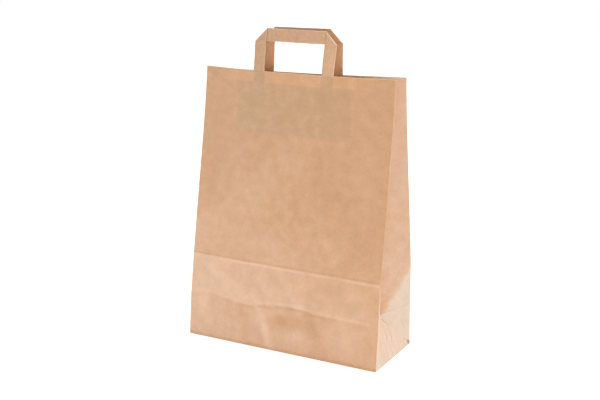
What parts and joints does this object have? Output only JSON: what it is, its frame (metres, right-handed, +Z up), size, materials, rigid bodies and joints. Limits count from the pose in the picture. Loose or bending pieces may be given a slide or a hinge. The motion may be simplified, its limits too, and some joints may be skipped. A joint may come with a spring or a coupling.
{
  "type": "flat-handle paper carrier bag",
  "caption": "Brown kraft-paper carrier bag standing open, with side gussets, a folded block bottom and flat folded paper handles glued inside the mouth under patches.",
  "frame": {"origin": "middle of the base, on the surface that the bag stands on", "axes": "+Z up through the mouth, +X across the front panel to its right, the front panel faces -Y"},
  "size_m": [0.32, 0.1301, 0.4784],
  "materials": {
    "kraft_paper": "matte machine-glazed kraft with faint fibres",
    "handle_paper": "matte folded kraft, several plies pressed flat",
    "patch_paper": "matte kraft, glued"
  },
  "bodies": {
    "root": {"bag_body": "kraft_paper", "handle_front": "handle_paper", "handle_rear": "handle_paper", "patch_front": "patch_paper", "patch_rear": "patch_paper"}
  },
  "joints": []
}
